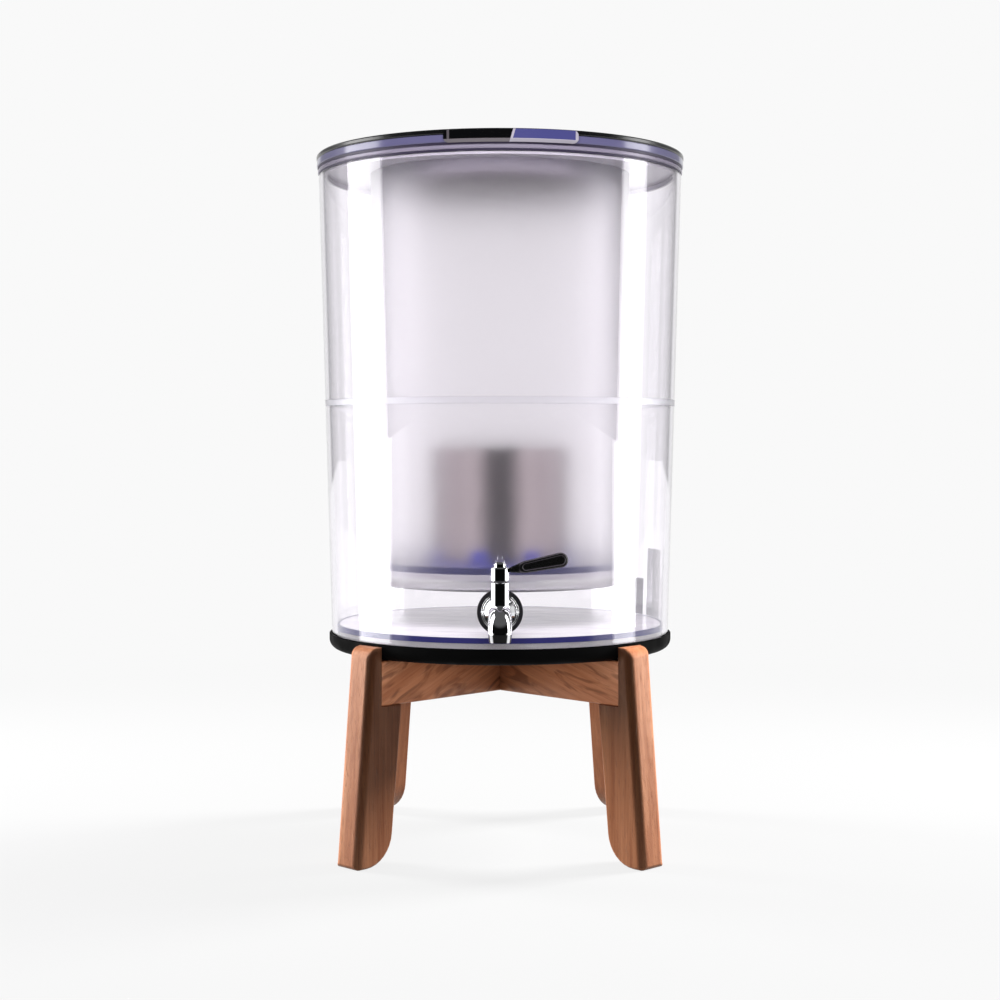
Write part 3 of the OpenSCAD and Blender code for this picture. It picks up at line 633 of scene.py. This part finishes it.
def drum(name):
    """Pale frosted plastic, with painted shade on its bottom."""
    mat, g = material(name)
    height = g.add("SeparateXYZ", {0: g.add("TexCoord").outputs["Object"]}).outputs["Z"]
    clouds = g.noise(g.stretched((1, 1, 1)), 60.0, 3.0)
    wall = g.blend(clouds, srgb(236, 230, 238), srgb(246, 240, 248))
    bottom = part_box("lid_drum")[0].z
    # Painted shade: the bottom and the lowest millimetres of the wall are dark grey
    side = g.smooth(height, bottom + DRUM_SHADE_BAND[0], bottom + DRUM_SHADE_BAND[1])
    shader = g.add("BsdfPrincipled", {
        "Base Color": g.blend(side, srgb(128, 118, 128), wall), "Roughness": 0.45,
    }).outputs[0]
    g.output(let_lamps_through(g, shader, (0.6, 0.58, 0.6, 1)))
    return mat


def two_tone_painted_light(name, left, right, left_painted_light, right_painted_light):
    """Glossy grip in one colour left of a slanting line and in another right of it, with painted
    highlights at its ends and ridge and a painted reflection on its lower bevel.
    """
    mat, g = material(name)
    place = g.add("SeparateXYZ", {0: g.add("TexCoord").outputs["Object"]}).outputs
    slanted = g.math("SUBTRACT", place["X"], g.math("MULTIPLY", place["Z"], GRIP_SLANT))
    share = g.math("GREATER_THAN", slanted, GRIP_SPLIT)
    low_box, high_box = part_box("lid_grip")
    # Painted reflection: the lower bevel takes the lighter colour
    painted_reflection_mask = g.math("LESS_THAN", place["Z"], low_box.z + GRIP_REFLECTION_BEVEL)
    # Painted highlight: a light strip at the right end
    end = g.math("GREATER_THAN", place["X"], high_box.x - GRIP_END_HIGHLIGHT)

    def line(value, middle):
        off = g.math("ABSOLUTE", g.math("SUBTRACT", value, middle))
        return g.math("LESS_THAN", off, GRIP_HIGHLIGHT_HALF)

    # Painted highlights: a light line along the ridge between the colours and a light spot near the left
    # end
    ridge_highlight = line(slanted, GRIP_SPLIT + GRIP_HIGHLIGHT_HALF)
    start = line(place["X"], low_box.x + GRIP_SPOT_HIGHLIGHT)
    fine = g.noise(g.stretched((1, 1, 1)), 900.0, 2.0)
    face = g.blend(share, g.blend(g.math("MULTIPLY", start, 0.6), left, left_painted_light),
                   g.blend(g.math("MAXIMUM", end, ridge_highlight), right, right_painted_light))
    bevel = g.blend(share, left_painted_light, right_painted_light)
    g.output(g.add("BsdfPrincipled", {
        "Base Color": g.blend(painted_reflection_mask, face, bevel),
        "Roughness": 0.12, "Coat Weight": 0.6, "Coat Roughness": 0.03,
        "Normal": g.bump(fine, 0.04, 0.0001),
    }).outputs[0])
    return mat


def make_materials():
    """All finishes by name: those of the slots, and those of single nodes in NODE_FINISHES."""
    lilac = (0.80, 0.77, 0.86, 1)
    early, late = srgb(*EARLY), srgb(*LATE)
    return {
        "wood": wood("wood", early, late),
        "beam_lower_wood": wood("beam_lower_wood", early, late, "X", 24.0, BEAM_FIGURE),
        "beam_upper_wood": wood("beam_upper_wood", early, late, "X", -16.0, BEAM_FIGURE),
        "dowel_wood": wood("dowel_wood", srgb(214, 180, 140), srgb(186, 148, 108)),
        "steel": metal("steel", srgb(200, 200, 204), 0.30),
        "black_plastic": moulded("black_plastic", (0.006, 0.006, 0.007, 1), 0.22),
        "clear_acrylic": acrylic("clear_acrylic", (0.99, 0.98, 0.99, 1), 0.0, (0.95, 0.94, 0.955, 1),
                                 (lilac, 45.0)),
        "opal_acrylic": opal("opal_acrylic"),
        "ledge_acrylic": milky("ledge_acrylic"),
        "ring_plastic": milky_ring("ring_plastic"),
        "tray_plastic": moulded("tray_plastic", (0.003, 0.003, 0.003, 1), 0.55, level=0.02),
        "lever_plastic": lever_painted_outline("lever_plastic"),
        # The washer is dark grey as painted shade in the groove between the tap body and its cap
        "washer_plastic": moulded("washer_plastic", srgb(60, 58, 62), 0.4),
        "tinted_acrylic": moulded("tinted_acrylic", srgb(116, 112, 154), 0.16, 0.04, 0.2),
        "joint_acrylic": acrylic("joint_acrylic", (0.93, 0.92, 0.96, 1), 0.3, (0.8, 0.8, 0.85, 1)),
        "dark_rubber": moulded("dark_rubber", srgb(26, 24, 29), 0.5),
        "lilac_rubber": moulded("lilac_rubber", srgb(66, 60, 80), 0.4, level=0.2),
        "blue_rubber": moulded("blue_rubber", srgb(56, 56, 118), 0.45, level=0.2),
        "grey_label": film("grey_label"),
        "chrome": metal("chrome", (0.87, 0.87, 0.89, 1), 0.05),
        "brass": metal("brass", srgb(214, 178, 104), 0.25, (1, 1, 12)),
        "frosted_plastic": frosted("frosted_plastic"),
        "white_plastic": moulded("white_plastic", srgb(236, 234, 238), 0.35, 0.02),
        "polished_steel": metal("polished_steel", (0.52, 0.45, 0.46, 1), 0.18, (1, 1, 14), 0.03),
        "blue_plastic": moulded("blue_plastic", srgb(52, 66, 222), 0.35),
        "carbon_media": granules("carbon_media"),
        "filter_felt": felt("filter_felt"),
        "smoked_plastic": drum("smoked_plastic"),
        # The last two colours are painted light: highlights at the grip's ends and ridge, and a
        # reflection on its lower bevel
        "grip_plastic": two_tone_painted_light("grip_plastic", (0.004, 0.004, 0.005, 1), srgb(86, 86, 150),
                                 srgb(128, 120, 128), srgb(205, 198, 214)),
    }


# Nodes whose finish differs from the rest of their slot
NODE_FINISHES = {
    "tank_floor": "opal_acrylic", "tank_joint_ring": "joint_acrylic", "floor_ledge": "ledge_acrylic",
    "vessel_hanger_ring": "ring_plastic", "base_tray": "tray_plastic",
    "tap_cap_washer": "washer_plastic", "lever_grip": "lever_plastic",
    "rim_gasket": "lilac_rubber", "lid_gasket": "lilac_rubber",
}


def dress(materials):
    """Gives each CAD node its own finish, or else that of its slot."""
    slot_of = {part["node"]: part["material_slot"] for part in frame["record"]["subparts"]}
    for name, node in frame["nodes"].items():
        node.material_slots[0].material = materials[NODE_FINISHES.get(name, slot_of[name])]


# Pieces


def closed_mesh(name, corners, faces):
    """A mesh whose faces all look outwards."""
    mesh = bpy.data.meshes.new(name)
    mesh.from_pydata(corners, [], faces)
    bm = bmesh.new()
    bm.from_mesh(mesh)
    bmesh.ops.recalc_face_normals(bm, faces=bm.faces)
    bm.to_mesh(mesh)
    bm.free()
    return mesh


def copy_node(name, angle):
    """The node's mesh turned into its own frame, with split corners joined and flat faces whole."""
    bm = bmesh.new()
    bm.from_mesh(frame["nodes"][name].data)
    bmesh.ops.transform(bm, matrix=Matrix.Rotation(-math.radians(angle), 4, "Z"), verts=bm.verts)
    bmesh.ops.remove_doubles(bm, verts=bm.verts, dist=JOINED)
    bmesh.ops.dissolve_limit(bm, angle_limit=math.radians(SMOOTH), verts=bm.verts, edges=bm.edges)
    return bm


def place_wood(name, mesh, angle, mat, index):
    """Puts a finished wooden mesh in place of its CAD node."""
    piece = bpy.data.objects.new(name + "_wood", mesh)
    bpy.context.scene.collection.objects.link(piece)
    for polygon in mesh.polygons:
        polygon.use_smooth = True
    mesh.set_sharp_from_angle(angle=math.radians(WOOD_SHARP))
    piece.modifiers.new("even", "WEIGHTED_NORMAL").keep_sharp = True
    mesh.materials.clear()
    mesh.materials.append(mat)
    piece.pass_index = index
    piece.rotation_euler = (0, 0, math.radians(angle))
    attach(piece, "stand")
    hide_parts(name)
    return piece


def leg_outline(bm):
    """The outline of a leg's flat side as (x, z, rounding radius, steps inwards along x and z)."""
    side = max((f for f in bm.faces if f.normal.y > 0.99), key=lambda f: f.calc_area())
    points = [(v.co.x, v.co.z) for v in side.verts]
    top = max(z for x, z in points)
    foot = max(x for x, z in points)
    inner = min(x for x, z in points if z > top - FLAT)
    shoulder = min(z for x, z in points if abs(x - inner) < FLAT)
    heel = min(z for x, z in points if x > foot - FLAT)
    sole = max(x for x, z in points if z < FLAT)
    head = max(z for x, z in points if x > inner + FLAT and z < top - HEAD_DROP)
    turn = sum(a[0] * b[1] - b[0] * a[1] for a, b in zip(points, points[1:] + points[:1]))
    hand = 1 if turn > 0 else -1
    outline = []
    for i, (x, z) in enumerate(points):
        after = points[(i + 1) % len(points)]
        before = Vector((x - points[i - 1][0], z - points[i - 1][1])).normalized()
        ahead = Vector((after[0] - x, after[1] - z)).normalized()
        first = Vector((-before.y, before.x)) * hand
        second = Vector((-ahead.y, ahead.x)) * hand
        step = (first + second) / (1 + first.dot(second))
        if x > sole - FLAT and z < heel + FLAT:
            down = 1 - z / heel
            radius = LEG_ROUND + (LEG_EASE - LEG_ROUND) * down
            outline.append((x, z, radius, -LEG_ROUND, LEG_EASE * down))
            continue
        radius = LEG_EASE
        if x > inner + FLAT and z > HEAD_SHARE * top:
            up = max(0.0, (z - head) / (top - head))
            radius = LEG_ROUND + (HEAD_EASE - LEG_ROUND) * up
        elif x < inner + FLAT and z > shoulder - FLAT:
            radius = NOTCH_EASE
        outline.append((x, z, radius, step.x * radius, step.y * radius))
    return outline


def inset(outline, share):
    """The outline moved inwards by a share of each point's own step."""
    return [(x + step_x * share, z + step_z * share) for x, z, _, step_x, step_z in outline]


def make_leg(name, angle, mat, index):
    """A leg board with rounded edges: the outline in layers, each a little further in."""
    bm = copy_node(name, angle)
    half = max(v.co.y for v in bm.verts)
    outline = leg_outline(bm)
    bm.free()
    turns = [math.pi / 2 * k / ROUND_STEPS for k in range(ROUND_STEPS + 1)]
    layers = [(-1, turn) for turn in reversed(turns)] + [(1, turn) for turn in turns]
    corners, faces = [], []
    count = len(outline)
    for side, turn in layers:
        ring = inset(outline, 1 - math.cos(turn))
        for (x, z), point in zip(ring, outline):
            corners.append((x, side * (half - point[2] * (1 - math.sin(turn))), z))
    for layer in range(len(layers) - 1):
        for i in range(count):
            j = (i + 1) % count
            low, high = layer * count, (layer + 1) * count
            faces.append((low + i, low + j, high + j, high + i))
    last = (len(layers) - 1) * count
    faces.append(tuple(reversed(range(count))))
    faces.append(tuple(range(last, last + count)))
    return place_wood(name, closed_mesh(name + "_wood", corners, faces), angle, mat, index)


def make_beam(name, angle, mat, index):
    """A beam with its long edges eased."""
    bm = copy_node(name, angle)
    half = max(v.co.y for v in bm.verts)
    weights = bm.edges.layers.float.new("bevel_weight_edge")
    for edge in bm.edges:
        ends = [v.co for v in edge.verts]
        long_edge = abs(ends[0].x - ends[1].x) > LONG_EDGE
        edge[weights] = 1.0 if long_edge and all(abs(abs(p.y) - half) < FLAT for p in ends) else 0.0
    mesh = bpy.data.meshes.new(name + "_plain")
    bm.to_mesh(mesh)
    bm.free()
    piece = bpy.data.objects.new(name + "_plain", mesh)
    bpy.context.scene.collection.objects.link(piece)
    bevel = piece.modifiers.new("round", "BEVEL")
    bevel.width, bevel.segments = BEAM_EASE, BEAM_STEPS
    bevel.limit_method = "WEIGHT"
    bevel.use_clamp_overlap = False
    made = bpy.data.meshes.new_from_object(piece.evaluated_get(bpy.context.evaluated_depsgraph_get()))
    made.name = name + "_wood"
    bpy.data.objects.remove(piece)
    return place_wood(name, made, angle, mat, index)


def make_escutcheon(mat):
    """The wall flange of the tap, turned with fine concentric steps."""
    node = frame["nodes"]["tap_escutcheon"]
    lo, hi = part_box("tap_escutcheon")
    axis = ((lo.x + hi.x) / 2, (lo.z + hi.z) / 2)
    bore = min(math.hypot(v.co.x - axis[0], v.co.z - axis[1]) for v in node.data.vertices)
    rim = (hi.x - lo.x) / 2
    deep = hi.y - lo.y
    rows = [(bore, 0), (rim, 0)] + [(rim * r, deep * d) for r, d in STEPS] + [(bore, deep)]
    corners, faces = [], []
    for r, d in rows:
        for k in range(STEP_SIDES):
            turn = 2 * math.pi * k / STEP_SIDES
            corners.append((axis[0] + r * math.cos(turn), hi.y - d, axis[1] + r * math.sin(turn)))
    for row in range(len(rows)):
        after = (row + 1) % len(rows)
        for k in range(STEP_SIDES):
            j = (k + 1) % STEP_SIDES
            faces.append((row * STEP_SIDES + k, row * STEP_SIDES + j,
                          after * STEP_SIDES + j, after * STEP_SIDES + k))
    mesh = closed_mesh("tap_escutcheon_turned", corners, faces)
    for polygon in mesh.polygons:
        polygon.use_smooth = True
    mesh.set_sharp_from_angle(angle=math.radians(STEP_SHARP))
    mesh.materials.append(mat)
    piece = bpy.data.objects.new("tap_escutcheon_turned", mesh)
    bpy.context.scene.collection.objects.link(piece)
    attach(piece, "tank")
    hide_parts("tap_escutcheon")


bpy.context.scene.view_settings.view_transform = "Standard"
make_world()
mirrored_lamps = make_softboxes(MIRRORED_BOXES, True)
vessel_lamps = make_softboxes(MIRRORED_BOXES, True, "_vessel")
wood_lamps = make_softboxes(WOOD_BOXES, False)
back_lamps = make_softboxes(WOOD_BOXES, False, "_back", BACK_SHARE)
dull_lamps = make_softboxes(DULL_BOXES, False)
front_lamps = make_softboxes(FRONT_BOXES, False)
beam_lamps = make_softboxes(BEAM_BOXES, False)
paper_floor = make_floor()
make_camera()
finishes = make_materials()
dress(finishes)
legs = [make_leg(leg, turn, finishes["wood"], number)
        for number, (leg, turn) in enumerate(LEG_ANGLES.items())]
beams = [make_beam(beam, turn, finishes[beam + "_wood"], number + len(legs))
         for number, (beam, turn) in enumerate(BEAM_ANGLES.items())]
make_escutcheon(finishes["chrome"])

# Which lamps light what
front_legs = [leg for leg in legs if "front" in leg.name]
back_legs = [leg for leg in legs if "back" in leg.name]
vessel_wall = frame["nodes"]["vessel_wall"]
lights_only(wood_lamps, front_legs + [paper_floor])
lights_only(back_lamps, beams + back_legs)
lights_only(beam_lamps, beams)
for lamp, other_side in zip(mirrored_lamps, ("right", "left")):
    lights_only([lamp], [leg for leg in legs if other_side in leg.name] + [vessel_wall], "EXCLUDE")
lights_only(vessel_lamps, [vessel_wall])
for lamp in vessel_lamps:
    lamp.visible_transmission = False
for lit_node, box_sizes in NODE_BOXES.items():
    lights_only([make_softbox(lit_node + "_lamp", False, *box_sizes)], [frame["nodes"][lit_node]])
lights_only(dull_lamps + front_lamps, legs + beams + [paper_floor], "EXCLUDE")
